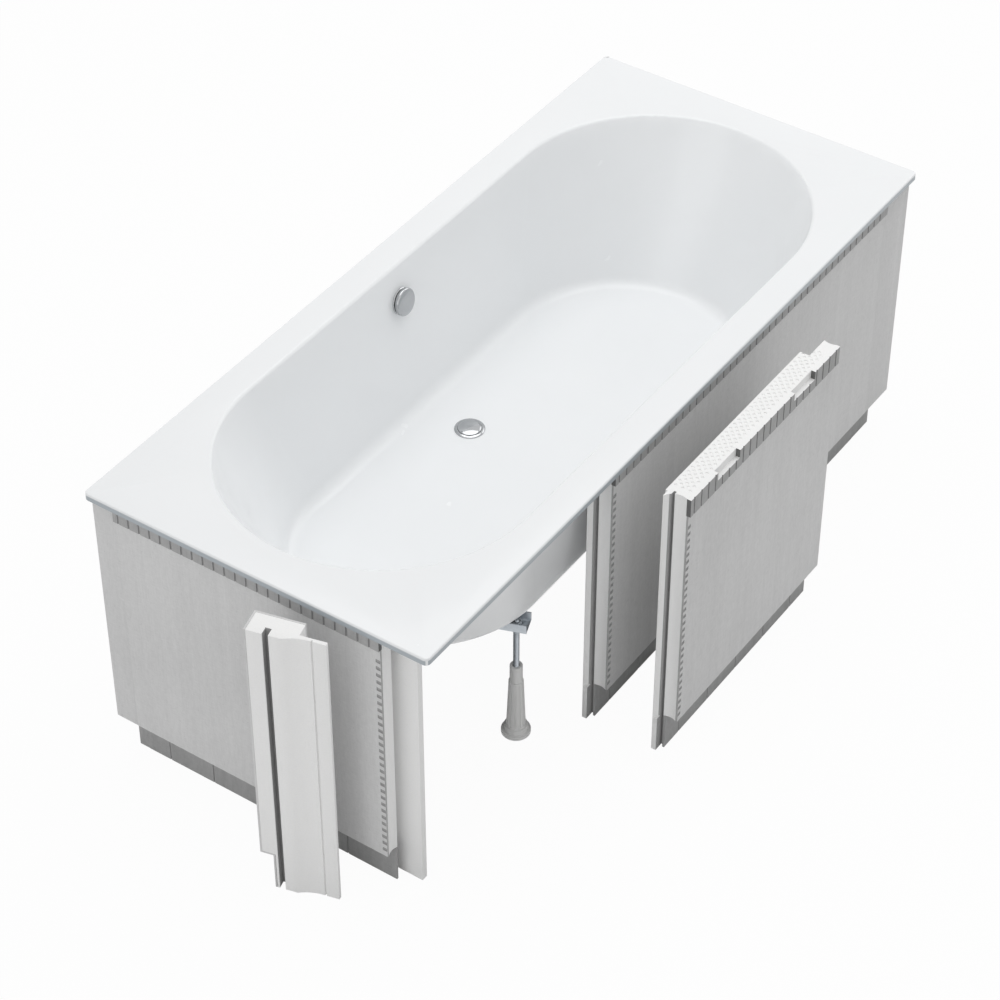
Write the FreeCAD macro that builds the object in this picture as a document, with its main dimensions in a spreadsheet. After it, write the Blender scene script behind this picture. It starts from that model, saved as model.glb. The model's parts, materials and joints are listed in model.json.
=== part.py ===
"""Skirted bathtub: an enamelled steel tub on screw feet inside a foam skirt of panels and corner blocks.

One front panel and the front left corner block are taken out and stand beside the tub.
X runs along the tub, the front is at -Y, +Z is up, and all sizes are in millimetres.
"""
import FreeCAD, Part
import math
import os
import re
import Sketcher

SIZES = {
    # Steel tub
    "tub_length": 1700,
    "tub_width": 750,
    "rim_height": 650,
    "rim_edge": 15,
    "rim_corner": 10,
    "tub_wall": 4,
    "end_border": 80,
    "side_border": 66,
    "end_lean": 165,
    "side_lean": 52,
    "bowl_depth": 330,
    "floor_bend": 30,
    "mouth_bend": 8,
    "bowl_clearance": 2,
    # Skirt panels
    "skirt_inset": 10,
    "facing": 4,
    "outer_layer": 30,
    "plinth_height": 85,
    "plinth_board": 4,
    "front_bay": 530,
    "end_hollow": 3,
    "lip_reach": 15,
    "lip_channel": 6,
    "end_lip_reach": 40,
    "rebate": 56,
    "service_chase": 120,
    "chase_skin": 12,
    "foam_gap": 0.4,
    # Strip along the top of each panel
    "strip_height": 40,
    "strip_depth": 9,
    "strip_proud": 4,
    "notch_length": 76,
    "notch_height": 18,
    "notch_spacing": 270,
    # Corner blocks
    "corner_length": 96,
    "slot_place": 35,
    "slot_width": 11,
    "slot_depth": 16,
    "cove_depth": 12,
    "cove_width": 46,
    "tongue_length": 52,
    "tongue_shown": 32,
    # Pieces taken out of the skirt
    "loose_panel_forward": 155,
    "loose_panel_along": 535,
    "loose_block_out": 72,
    "loose_block_back": 306,
    "loose_block_angle": 194,
    # Waste and overflow
    "drain_back": 135,
    "drain_hole": 52,
    "fit_gap": 0.4,
    "flange_radius": 31,
    "flange_height": 3,
    "flange_lip": 1,
    "flange_neck": 18,
    "flange_wall": 5,
    "plug_radius": 24.5,
    "plug_seat": 5,
    "plug_taper": 3,
    "plug_rim": 1.2,
    "plug_dome": 2.4,
    "crown_radius_share": 0.8,
    "crown_height_share": 0.7,
    "plug_stem_radius": 4,
    "plug_stem": 44,
    "gasket": 3,
    "gasket_radius": 40,
    "cup_flange": 5,
    "cup_radius": 34,
    "cup_wall": 4,
    "cup_depth": 54,
    "cup_socket": 30,
    "trap_radius": 20,
    "trap_wall": 2.5,
    "trap_bend": 45,
    "trap_straight": 5,
    "trap_floor_gap": 25,
    "trap_rise": 40,
    "outlet_end": 10,
    "socket_wall": 2.5,
    "socket_length": 16,
    "pipe_radius": 14,
    "pipe_wall": 2,
    "pipe_bend": 50,
    "pipe_drop": 36,
    "overflow_drop": 80,
    "overflow_hole": 52,
    "overflow_ring_radius": 28,
    "overflow_ring": 3,
    "overflow_neck": 14,
    "overflow_web": 4,
    "overflow_port_radius": 4,
    "overflow_port_circle": 12.5,
    "overflow_cup_radius": 31,
    "overflow_cup_depth": 39,
    "overflow_outlet": 54,
    "knob_radius": 28.5,
    "knob_gap": 2,
    "knob_depth": 9,
    "knob_dome": 2,
    "knob_stem_radius": 5,
    "knob_stem": 30,
    "cable_radius": 2.5,
    "cable_side": 25,
    "cable_bend": 60,
    "gland_radius": 5,
    "gland_length": 34,
    # Feet
    "foot_from_end": 227,
    "foot_from_side": 22,
    "bracket_angle": 20,
    "bracket_length": 100,
    "bracket_overhang": 24,
    "bracket_width": 40,
    "bracket_height": 34,
    "bracket_metal": 2.5,
    "bracket_flange": 20,
    "pad_length": 20,
    "pad_gap": 1,
    "pad_from_rod": 16,
    "rod_radius": 6,
    "rod_gap": 0.3,
    "rod_headroom": 18,
    "nut_width": 19,
    "nut_height": 10,
    "cone_share": 0.63,
    "engagement_share": 0.53,
    "cone_base_radius": 29,
    "cone_base": 8,
    "cone_step_radius": 23,
    "cone_step": 12,
    "cone_foot_radius": 19,
    "cone_shoulder_radius": 14.5,
    "cone_sleeve_radius": 12.5,
    "cone_sleeve": 40,
    # Cuts run past the solid by this much
    "overrun": 5,
}

doc = FreeCAD.newDocument("SkirtedBathtub")
sheet = doc.addObject("Spreadsheet::Sheet", "Sizes")
for row, (alias, size) in enumerate(SIZES.items(), start=1):
    sheet.set(f"A{row}", alias)
    sheet.set(f"B{row}", str(size))
    sheet.setAlias(f"B{row}", alias)
doc.recompute()


class Size:
    """The sheet's sizes as numbers, for places and turns."""

    def __getattr__(self, alias):
        return float(sheet.get(alias))


size = Size()
nodes = {}
placed = []

# Formulas that several pieces share
PLATE = "(rim_height - tub_wall)"
FLOOR = "(rim_height - bowl_depth)"
UNDER = "(rim_height - bowl_depth - tub_wall)"
SKIRT_LENGTH = "(tub_length - 2 * skirt_inset)"
SKIRT_WIDTH = "(tub_width - 2 * skirt_inset)"
SIDE_PANEL = "(side_border - tub_wall - skirt_inset - bowl_clearance)"
END_PANEL = "(end_border - tub_wall - skirt_inset - bowl_clearance)"
OPENING_END = "(tub_length / 2 - end_border)"
OPENING_SIDE = "(tub_width / 2 - side_border)"
STRIP_BACK = "(strip_depth - strip_proud)"
STRIP_FOOT = f"({PLATE} - strip_height)"
CONE = f"(({UNDER} - bracket_height) * cone_share)"
CONE_BLIND = f"({CONE} * (1 - engagement_share))"

# Flats of a nut
NUT_SIDES = 6


def cells(formula):
    """Turn the size names in a formula into cells of the sheet."""
    return re.sub(r"\b[a-z_]\w*\b(?!\s*\()", lambda word: "Sizes." + word[0], formula)


def new_body(name):
    """Start a sub-part."""
    body = doc.addObject("PartDesign::Body", name)
    placed.append(body)
    return body


def keep(name, piece):
    """Name a finished sub-part."""
    piece.Label = name
    nodes[name] = piece
    return piece


def new_sketch(body, role="XY_Plane", lift="0"):
    """A sketch on one of the body's own planes, raised off it by a formula."""
    sketch = body.newObject("Sketcher::SketchObject", body.Name + "_sketch")
    plane = next(part for part in body.Origin.OriginFeatures if part.Role == role)
    sketch.AttachmentSupport = [(plane, "")]
    sketch.MapMode = "FlatFace"
    sketch.setExpression("AttachmentOffset.Base.z", cells(lift))
    return sketch


def pin_point(sketch, edge, point, x, y):
    """Tie a point of a sketch to its place."""
    drawn = sketch.getPoint(edge, point)
    for kind, start, formula in (("DistanceX", drawn.x, x), ("DistanceY", drawn.y, y)):
        number = sketch.addConstraint(Sketcher.Constraint(kind, -1, 1, edge, point, start))
        sketch.setExpression(f"Constraints[{number}]", cells(formula))


def outline(sketch, points):
    """A closed outline of straight edges through the points."""
    first = sketch.GeometryCount
    count = len(points)
    ring = [FreeCAD.Vector(math.cos(step), math.sin(step))
            for step in (2 * math.pi * index / count for index in range(count))]
    for index in range(count):
        sketch.addGeometry(Part.LineSegment(ring[index], ring[(index + 1) % count]), False)
    for index, (x, y) in enumerate(points):
        following = first + (index + 1) % count
        sketch.addConstraint(Sketcher.Constraint("Coincident", first + index, 2, following, 1))
        pin_point(sketch, first + index, 1, x, y)
    return sketch


def rectangle(sketch, left, right, low, high):
    """A closed rectangle."""
    return outline(sketch, [(left, low), (right, low), (right, high), (left, high)])


def circle(sketch, x, y, radius):
    """A circle about a point."""
    round_edge = Part.Circle(FreeCAD.Vector(), FreeCAD.Vector(0, 0, 1), 1.0)
    edge = sketch.addGeometry(round_edge, False)
    pin_point(sketch, edge, 3, x, y)
    number = sketch.addConstraint(Sketcher.Constraint("Radius", edge, 1.0))
    sketch.setExpression(f"Constraints[{number}]", cells(radius))
    return sketch


def stadium(sketch, half_length, half_width):
    """Two straight sides joined by half circles."""
    straight = f"({half_length} - {half_width})"
    left, right = FreeCAD.Vector(-1, 0), FreeCAD.Vector(1, 0)
    up = FreeCAD.Vector(0, 1)
    axis = FreeCAD.Vector(0, 0, 1)
    low = sketch.addGeometry(Part.LineSegment(left - up, right - up), False)
    right_arc = Part.ArcOfCircle(Part.Circle(right, axis, 1), -math.pi / 2, math.pi / 2)
    left_arc = Part.ArcOfCircle(Part.Circle(left, axis, 1), math.pi / 2, 3 * math.pi / 2)
    end = sketch.addGeometry(right_arc, False)
    high = sketch.addGeometry(Part.LineSegment(right + up, left + up), False)
    start = sketch.addGeometry(left_arc, False)
    ring = (low, end, high, start)
    for edge, following in zip(ring, ring[1:] + ring[:1]):
        sketch.addConstraint(Sketcher.Constraint("Coincident", edge, 2, following, 1))
    pin_point(sketch, low, 1, f"-{straight}", f"-{half_width}")
    pin_point(sketch, low, 2, straight, f"-{half_width}")
    pin_point(sketch, high, 1, straight, half_width)
    pin_point(sketch, high, 2, f"-{straight}", half_width)
    for arc, x in ((end, straight), (start, f"-{straight}")):
        drawn = sketch.getPoint(arc, 3)
        number = sketch.addConstraint(Sketcher.Constraint("DistanceX", -1, 1, arc, 3, drawn.x))
        sketch.setExpression(f"Constraints[{number}]", cells(x))
    return sketch


def pad(body, sketch, length, away=False):
    """Push a sketch out into a solid."""
    feature = body.newObject("PartDesign::Pad", body.Name + "_pad")
    feature.Profile = sketch
    feature.setExpression("Length", cells(length))
    feature.Reversed = away
    doc.recompute()
    return feature


def pocket(body, sketch, length=None, away=False):
    """Cut a sketch out of the solid, to a depth or right through both ways."""
    before = body.Shape.Volume
    feature = body.newObject("PartDesign::Pocket", body.Name + "_pocket")
    feature.Profile = sketch
    if length is None:
        feature.Type = "ThroughAll"
        feature.Midplane = True
    else:
        feature.setExpression("Length", cells(length))
        feature.Reversed = away
    doc.recompute()
    if body.Shape.Volume >= before:
        raise RuntimeError(f"{feature.Label} cuts nothing")
    return feature


def turned(body, points, kind="PartDesign::Revolution"):
    """Turn a profile of radius and height about the body's upright axis."""
    sketch = outline(new_sketch(body, "XZ_Plane"), points)
    feature = body.newObject(kind, body.Name + "_turned")
    feature.Profile = sketch
    feature.ReferenceAxis = (sketch, ["V_Axis"])
    doc.recompute()
    return feature


def round_off(body, radius, wanted):
    """Fillet the edges that a test picks out."""
    base = body.Tip
    names = [f"Edge{number}" for number, edge in enumerate(base.Shape.Edges, start=1) if wanted(edge)]
    feature = body.newObject("PartDesign::Fillet", body.Name + "_fillet")
    feature.Base = (base, names)
    feature.setExpression("Radius", cells(radius))
    doc.recompute()
    return feature


def level_at(edge, height):
    """Whether an edge lies flat at a height."""
    box = edge.BoundBox
    return math.isclose(box.ZMin, height, abs_tol=1e-4) and math.isclose(box.ZMax, height, abs_tol=1e-4)


def place(piece, x=0.0, y=0.0, z=0.0, turn=0.0):
    """Set a piece at its place about the tub's centre, turned about the upright axis."""
    piece.Placement = FreeCAD.Placement(FreeCAD.Vector(x, y, z),
                                        FreeCAD.Rotation(FreeCAD.Vector(0, 0, 1), turn))


def group(name, pieces):
    """Several like pieces that share one name."""
    compound = doc.addObject("Part::Compound", name)
    compound.Links = pieces
    return keep(name, compound)


def loft(body, kind, sections):
    """A wall drawn between two sketches."""
    feature = body.newObject(kind, body.Name + "_loft")
    feature.Profile = sections[0]
    feature.Sections = sections[1:]
    feature.Ruled = True
    doc.recompute()
    return feature


def bowl(body, kind, wall):
    """The bowl's form, grown by a wall square to its leaning sides, from the rim down to its floor."""
    def half(opening, lean, depth):
        slope = f"({lean} / bowl_depth)"
        return f"({opening} - {slope} * {depth} + {wall} * sqrt(1 + {slope} * {slope}))"

    sections = []
    for depth in ("0", f"(bowl_depth + {wall})"):
        section = new_sketch(body, lift=f"rim_height - {depth}")
        half_length = half(OPENING_END, "end_lean", depth)
        half_width = half(OPENING_SIDE, "side_lean", depth)
        sections.append(stadium(section, half_length, half_width))
    return loft(body, kind, sections)


def lean_angle():
    """How far the long walls lean from upright, in degrees."""
    return math.degrees(math.atan2(size.side_lean, size.bowl_depth))


def overflow_centre():
    """Where the overflow's axis meets the inner face of the back wall."""
    side = size.tub_width / 2 - size.side_border
    slope = size.side_lean / size.bowl_depth
    return FreeCAD.Vector(0, side - size.overflow_drop * slope, size.rim_height - size.overflow_drop)


def overflow_placement():
    """Local +Z points into the bowl, square to the back wall."""
    return FreeCAD.Placement(overflow_centre(), FreeCAD.Rotation(FreeCAD.Vector(1, 0, 0), 90 - lean_angle()))


def make_tub():
    """Flat rim with a turned-down edge, and a leaning bowl with holes for waste and overflow."""
    body = new_body("Tub")
    half_length, half_width = "tub_length / 2", "tub_width / 2"
    rim = rectangle(new_sketch(body, lift=f"{PLATE} + tub_wall - rim_edge"),
                    f"-{half_length}", half_length, f"-{half_width}", half_width)
    pad(body, rim, "rim_edge")
    hollow = rectangle(new_sketch(body, lift=f"{PLATE} + tub_wall - rim_edge"),
                       f"-{half_length} + tub_wall", f"{half_length} - tub_wall",
                       f"-{half_width} + tub_wall", f"{half_width} - tub_wall")
    pocket(body, hollow, "rim_edge - tub_wall", away=True)
    round_off(body, "rim_corner", lambda edge: edge.BoundBox.ZLength > size.tub_wall
              and abs(edge.CenterOfMass.x) > size.tub_length / 2 - size.tub_wall / 2)
    bowl(body, "PartDesign::AdditiveLoft", "tub_wall")
    bowl(body, "PartDesign::SubtractiveLoft", "0")
    under = size.rim_height - size.bowl_depth - size.tub_wall
    round_off(body, "floor_bend", lambda edge: level_at(edge, under + size.tub_wall))
    round_off(body, "floor_bend + tub_wall", lambda edge: level_at(edge, under))
    reach = size.tub_length / 2 - size.end_border / 2
    depth = size.tub_width / 2 - size.side_border / 2
    round_off(body, "mouth_bend", lambda edge: level_at(edge, size.rim_height)
              and abs(edge.CenterOfMass.x) < reach and abs(edge.CenterOfMass.y) < depth)
    drain = circle(new_sketch(body, lift=f"{UNDER} - overrun"), "0", "drain_back", "drain_hole / 2")
    pocket(body, drain, "tub_wall + 2 * overrun", away=True)
    hole = circle(new_sketch(body), "0", "0", "overflow_hole / 2")
    turn = overflow_placement()
    turn.Base = turn.multVec(FreeCAD.Vector(0, 0, -size.tub_wall - size.overrun))
    hole.setExpression("AttachmentOffset.Base.z", None)
    hole.AttachmentOffset = turn
    pocket(body, hole, "tub_wall + 2 * overrun", away=True)
    keep("tub_shell", body)


def core_outline(length, thickness, left, right):
    """Plan of a panel's inner layer, which carries its lips and rebates."""
    lip_near = "slot_place + foam_gap"
    lip_far = "slot_place + slot_width - foam_gap"
    behind = f"{SIDE_PANEL} + foam_gap"
    starts = {
        "lip": [("lip_channel", "outer_layer"), ("lip_channel", lip_near), ("-lip_reach", lip_near),
                ("-lip_reach", lip_far), ("0", lip_far), ("0", thickness)],
        "chase": [("service_chase / 2", "outer_layer"), ("service_chase / 2", thickness)],
    }
    ends = {
        "rebate": [(f"{length} - rebate", thickness), (f"{length} - rebate", "outer_layer")],
        "chase": [(f"{length} - service_chase / 2", thickness),
                  (f"{length} - service_chase / 2", "outer_layer")],
        "end_lip": [(f"{length} + end_lip_reach", thickness), (f"{length} + end_lip_reach", behind),
                    (f"{length} - rebate", behind), (f"{length} - rebate", "outer_layer")],
    }
    return starts[left] + ends[right]


def make_panel(name, length, thickness, left, right, x, y, turn):
    """One skirt panel: foam core, ribbed facing, plinth board and notched top strip.

    Its own X runs from left to right as seen from outside, and its own Y runs inwards from the face.
    """
    core = new_body(name + "_core")
    pad(core, outline(new_sketch(core), core_outline(length, thickness, left, right)), PLATE)
    outer = rectangle(new_sketch(core, lift="plinth_height"), "0", length, "facing", "outer_layer")
    pad(core, outer, f"{PLATE} - plinth_height")
    half_chord = "(outer_layer - facing) / 2"
    hollow_radius = f"(({half_chord}) * ({half_chord}) + end_hollow * end_hollow) / (2 * end_hollow)"
    for centre in (f"end_hollow - {hollow_radius}", f"{length} - end_hollow + {hollow_radius}"):
        bite = circle(new_sketch(core, lift="plinth_height"), centre, f"facing + {half_chord}", hollow_radius)
        pocket(core, bite, f"{PLATE} - plinth_height + overrun", away=True)
    reaches = {"left": ("-overrun", "service_chase / 2"),
               "right": (f"{length} - service_chase / 2", f"{length} + overrun")}
    for side, kind in (("left", left), ("right", right)):
        if kind == "chase":
            run = rectangle(new_sketch(core), *reaches[side], "chase_skin", "outer_layer + overrun")
            pocket(core, run)
    shelf = rectangle(new_sketch(core, lift=STRIP_FOOT), "-overrun", f"{length} + overrun", "0", STRIP_BACK)
    pocket(core, shelf, "strip_height + overrun", away=True)
    keep(name + "_core", core)

    facing = new_body(name + "_facing")
    pad(facing, rectangle(new_sketch(facing, lift="plinth_height"), "0", length, "0", "facing"),
        f"{STRIP_FOOT} - plinth_height")
    keep(name + "_facing", facing)

    plinth = new_body(name + "_plinth")
    pad(plinth, rectangle(new_sketch(plinth), "0", length, "outer_layer - plinth_board", "outer_layer"),
        "plinth_height")
    keep(name + "_plinth", plinth)

    strip = new_body(name + "_top_strip")
    pad(strip, rectangle(new_sketch(strip, lift=STRIP_FOOT), "0", length, "-strip_proud", STRIP_BACK),
        "strip_height")
    for side in ("-", "+"):
        middle = f"({length} / 2 {side} notch_spacing / 2)"
        notch = rectangle(new_sketch(strip, "XZ_Plane"), f"{middle} - notch_length / 2",
                          f"{middle} + notch_length / 2", f"{PLATE} - notch_height", f"{PLATE} + overrun")
        pocket(strip, notch)
    keep(name + "_top_strip", strip)

    for piece in (core, facing, plinth, strip):
        place(piece, x, y, turn=turn)


def make_corner(name, x, y, turn):
    """One corner block: foam core with slot, cove and tongue, and the coat on its two outer faces.

    Its own X and Y run inwards from the two outer faces that meet at the corner.
    """
    inner, shoulder = SIDE_PANEL, f"({SIDE_PANEL} - cove_depth)"
    slot_end = "slot_place + slot_width"
    tip = "corner_length + tongue_length"
    cove_end = f"{tip} - tongue_shown"
    cove_radius = "(cove_width * cove_width + cove_depth * cove_depth) / (2 * cove_depth)"
    core = new_body(name + "_block")
    back = [("outer_layer", "outer_layer"), (inner, "outer_layer"), (inner, "slot_place"),
            (f"{inner} - slot_depth", "slot_place"), (f"{inner} - slot_depth", slot_end), (inner, slot_end),
            (inner, cove_end), (shoulder, cove_end), (shoulder, tip), ("outer_layer", tip)]
    pad(core, outline(new_sketch(core), back), PLATE)
    front = [("facing", "facing"), (inner, "facing"), (inner, "outer_layer"), ("outer_layer", "outer_layer"),
             ("outer_layer", "corner_length"), ("facing", "corner_length")]
    layer = outline(new_sketch(core, lift="plinth_height + facing"), front)
    pad(core, layer, f"{PLATE} - plinth_height - facing")
    pocket(core, circle(new_sketch(core), f"{shoulder} + {cove_radius}", cove_end, cove_radius))
    keep(name + "_block", core)

    def angle(near, far):
        return [(near, near), (inner, near), (inner, far), (far, far),
                (far, "corner_length"), (near, "corner_length")]

    coat = new_body(name + "_coat")
    board = "outer_layer - plinth_board"
    pad(coat, outline(new_sketch(coat), angle(board, "outer_layer")), "plinth_height + facing")
    pad(coat, outline(new_sketch(coat, lift="plinth_height"), angle("0", "outer_layer")), "facing")
    face = outline(new_sketch(coat, lift="plinth_height"), angle("0", "facing"))
    pad(coat, face, f"{PLATE} - plinth_height")
    keep(name + "_coat", coat)

    for piece in (core, coat):
        place(piece, x, y, turn=turn)


def make_skirt():
    """Six panels between four like corner blocks, with the front left ones taken out."""
    long_side = size.tub_length / 2 - size.skirt_inset
    short_side = size.tub_width / 2 - size.skirt_inset
    side_panel = size.side_border - size.tub_wall - size.skirt_inset - size.bowl_clearance
    seam = size.front_bay + side_panel - long_side
    end_length = f"({SKIRT_WIDTH} - {SIDE_PANEL} - corner_length)"
    front_rest = f"({SKIRT_LENGTH} - {SIDE_PANEL} - corner_length - front_bay)"
    make_panel("loose_panel", "front_bay", SIDE_PANEL, "lip", "rebate",
               side_panel - long_side + size.loose_panel_along, -short_side - size.loose_panel_forward, 0)
    make_panel("front_panel", front_rest, SIDE_PANEL, "lip", "rebate", seam, -short_side, 0)
    make_panel("left_panel", end_length, END_PANEL, "lip", "end_lip",
               -long_side, short_side - side_panel, -90)
    make_panel("right_panel", end_length, END_PANEL, "lip", "end_lip",
               long_side, side_panel - short_side, 90)
    make_panel("back_right_panel", f"({SKIRT_LENGTH} / 2 - {SIDE_PANEL})", SIDE_PANEL, "lip", "chase",
               long_side - side_panel, short_side, 180)
    make_panel("back_left_panel", f"({SKIRT_LENGTH} / 2 - corner_length)", SIDE_PANEL, "chase", "rebate",
               0, short_side, 180)
    make_corner("loose_corner", -long_side - size.loose_block_out, size.loose_block_back - short_side,
                size.loose_block_angle)
    make_corner("back_left_corner", -long_side, short_side, -90)
    make_corner("back_right_corner", long_side, short_side, 180)
    make_corner("front_right_corner", long_side, -short_side, 90)


def make_waste():
    """Pop-up waste: chrome flange and plug over a gasket and a cup with a side inlet."""
    hole = "(drain_hole / 2 - fit_gap)"
    bore = f"({hole} - flange_wall)"
    seat_foot = "(flange_height - plug_seat)"
    seat_radius = "(plug_radius - plug_taper)"
    flange = new_body("Waste_flange")
    turned(flange, [(bore, "-flange_neck"), (hole, "-flange_neck"), (hole, "0"), ("flange_radius", "0"),
                    ("flange_radius", "flange_lip"), ("(flange_radius + plug_radius) / 2", "flange_height"),
                    ("plug_radius", "flange_height"), (seat_radius, seat_foot), (bore, seat_foot)])
    keep("waste_flange", flange)

    plug = new_body("Drain_plug")
    rim = "(flange_height + plug_rim)"
    turned(plug, [("0", f"{seat_foot} - plug_stem"), ("plug_stem_radius", f"{seat_foot} - plug_stem"),
                  ("plug_stem_radius", seat_foot), (f"{seat_radius} - fit_gap", seat_foot),
                  ("plug_radius - fit_gap", "flange_height"), ("plug_radius - fit_gap", rim),
                  ("plug_radius * crown_radius_share", f"{rim} + plug_dome * crown_height_share"),
                  ("0", f"{rim} + plug_dome")])
    keep("drain_plug", plug)

    gasket = new_body("Waste_gasket")
    top = "-tub_wall"
    turned(gasket, [("drain_hole / 2", f"{top} - gasket"), ("gasket_radius", f"{top} - gasket"),
                    ("gasket_radius", top), ("drain_hole / 2", top)])
    keep("waste_gasket", gasket)

    cup = new_body("Waste_cup")
    top = "(-tub_wall - gasket)"
    ledge = f"({top} - cup_flange)"
    base = f"({ledge} - cup_depth)"
    throat = "(trap_radius + fit_gap)"
    mouth = "(trap_radius - trap_wall)"
    turned(cup, [("0", top), ("gasket_radius", top), ("gasket_radius", ledge), ("cup_radius", ledge),
                 ("cup_radius", base), (f"{throat} + socket_wall", base),
                 (f"{throat} + socket_wall", f"{base} - cup_socket"), ("0", f"{base} - cup_socket")])
    inlet = circle(new_sketch(cup, "XZ_Plane"), "0", "-pipe_drop", "pipe_radius + fit_gap + socket_wall")
    pad(cup, inlet, "cup_radius + socket_length", away=True)
    gland = circle(new_sketch(cup, "XZ_Plane"), "cable_side", "-pipe_drop", "gland_radius")
    pad(cup, gland, "cup_radius + socket_length", away=True)
    inside = "(cup_radius - cup_wall)"
    turned(cup, [("0", f"{top} + overrun"), ("drain_hole / 2", f"{top} + overrun"), ("drain_hole / 2", ledge),
                 (inside, ledge), (inside, f"{base} + cup_wall"), (mouth, f"{base} + cup_wall"),
                 (mouth, base), (throat, base), (throat, f"{base} - cup_socket - overrun"),
                 ("0", f"{base} - cup_socket - overrun")], "PartDesign::Groove")
    bore = circle(new_sketch(cup, "XZ_Plane", f"-{inside}"), "0", "-pipe_drop", "pipe_radius + fit_gap")
    pocket(cup, bore, "cup_radius + socket_length + overrun")
    keep("waste_cup", cup)

    floor = size.rim_height - size.bowl_depth
    for piece in (flange, plug, gasket, cup):
        place(piece, 0, size.drain_back, floor)


def sweep(body, spine, profile):
    """A tube drawn along a sketched path."""
    feature = body.newObject("PartDesign::AdditivePipe", body.Name + "_sweep")
    feature.Profile = profile
    feature.Spine = spine
    doc.recompute()
    return feature


def path(sketch, points, bend):
    """Straight runs between points, joined by tangent arcs of one radius, drawn in the sketch."""
    corners = [FreeCAD.Vector(x, y) for x, y in points]
    start = corners[0]
    for before, corner, after in zip(corners, corners[1:], corners[2:]):
        inward = (before - corner).normalize()
        outward = (after - corner).normalize()
        half = inward.getAngle(outward) / 2
        arc_start = corner + inward * (bend / math.tan(half))
        arc_end = corner + outward * (bend / math.tan(half))
        middle_way = (inward + outward).normalize()
        arc_middle = corner + middle_way * (bend / math.sin(half) - bend)
        sketch.addGeometry(Part.LineSegment(start, arc_start), False)
        sketch.addGeometry(Part.Arc(arc_start, arc_middle, arc_end), False)
        start = arc_end
    sketch.addGeometry(Part.LineSegment(start, corners[-1]), False)
    for edge in range(sketch.GeometryCount):
        sketch.addConstraint(Sketcher.Constraint("Block", edge))
    return sketch


def make_trap():
    """A bent waste tube that holds its water seal and ends in an upright outlet."""
    body = new_body("Trap")
    top = size.rim_height - size.bowl_depth - size.tub_wall - size.gasket - size.cup_flange - size.cup_depth
    low = size.trap_floor_gap + size.trap_radius
    high = low + 2 * size.trap_bend + size.trap_rise
    step = 2 * size.trap_bend + size.trap_straight
    route = [(0, top - size.fit_gap), (0, low), (step, low), (step, high), (2 * step, high),
             (2 * step, size.outlet_end)]
    spine = path(new_sketch(body, "XZ_Plane"), route, size.trap_bend)
    section = new_sketch(body, lift=f"{UNDER} - gasket - cup_flange - cup_depth - fit_gap")
    circle(section, "0", "0", "trap_radius")
    circle(section, "0", "0", "trap_radius - trap_wall")
    sweep(body, spine, section)
    place(body, 0, size.drain_back)
    keep("trap", body)


def make_overflow():
    """Overflow: clamping ring and turning knob in the bowl, gasket and cup behind the wall."""
    hole = "(overflow_hole / 2 - fit_gap)"
    web_top = "(-overflow_neck + overflow_web)"
    ring = new_body("Overflow_ring")
    turned(ring, [("knob_stem_radius + fit_gap", "-overflow_neck"), (hole, "-overflow_neck"), (hole, "0"),
                  ("overflow_ring_radius", "0"), ("overflow_ring_radius", "overflow_ring / 2"),
                  ("overflow_ring_radius - overflow_ring / 2", "overflow_ring"),
                  (f"{hole} - overflow_ring", "overflow_ring"), (f"{hole} - overflow_ring", web_top),
                  ("knob_stem_radius + fit_gap", web_top)])
    ports = new_sketch(ring, lift="-overflow_neck - overrun")
    for x, y in (("overflow_port_circle", "0"), ("0", "overflow_port_circle"),
                 ("-overflow_port_circle", "0"), ("0", "-overflow_port_circle")):
        circle(ports, x, y, "overflow_port_radius")
    pocket(ring, ports, "overflow_web + 2 * overrun", away=True)
    keep("overflow_ring", ring)

    knob = new_body("Overflow_knob")
    back = "(overflow_ring + knob_gap)"
    face = f"({back} + knob_depth)"
    turned(knob, [("0", f"{back} - knob_stem"), ("knob_stem_radius", f"{back} - knob_stem"),
                  ("knob_stem_radius", back), ("knob_radius - knob_dome", back),
                  ("knob_radius", f"{back} + knob_dome"),
                  ("knob_radius", f"{face} - knob_dome"), ("knob_radius - knob_dome", face), ("0", face)])
    keep("overflow_knob", knob)

    gasket = new_body("Overflow_gasket")
    top = "-tub_wall"
    turned(gasket, [("overflow_hole / 2", f"{top} - gasket"), ("overflow_cup_radius", f"{top} - gasket"),
                    ("overflow_cup_radius", top), ("overflow_hole / 2", top)])
    keep("overflow_gasket", gasket)

    cup = new_body("Overflow_cup")
    top = "(-tub_wall - gasket)"
    back = "(-tub_wall - overflow_cup_depth)"
    axis = f"({back} + cup_wall + pipe_radius)"
    turned(cup, [("0", back), ("overflow_cup_radius", back), ("overflow_cup_radius", top), ("0", top)])
    outlet = circle(new_sketch(cup, "XZ_Plane"), "0", axis, "pipe_radius + fit_gap + socket_wall")
    pad(cup, outlet, "overflow_outlet")
    gland = circle(new_sketch(cup, "XZ_Plane"), "cable_side", axis, "gland_radius")
    pad(cup, gland, "gland_length")
    turned(cup, [("0", f"{back} + cup_wall"), ("overflow_hole / 2", f"{back} + cup_wall"),
                 ("overflow_hole / 2", f"{top} + overrun"), ("0", f"{top} + overrun")], "PartDesign::Groove")
    bore = circle(new_sketch(cup, "XZ_Plane"), "0", axis, "pipe_radius + fit_gap")
    pocket(cup, bore, "overflow_outlet + overrun", away=True)
    keep("overflow_cup", cup)

    for piece in (ring, knob, gasket, cup):
        piece.Placement = overflow_placement()


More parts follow.
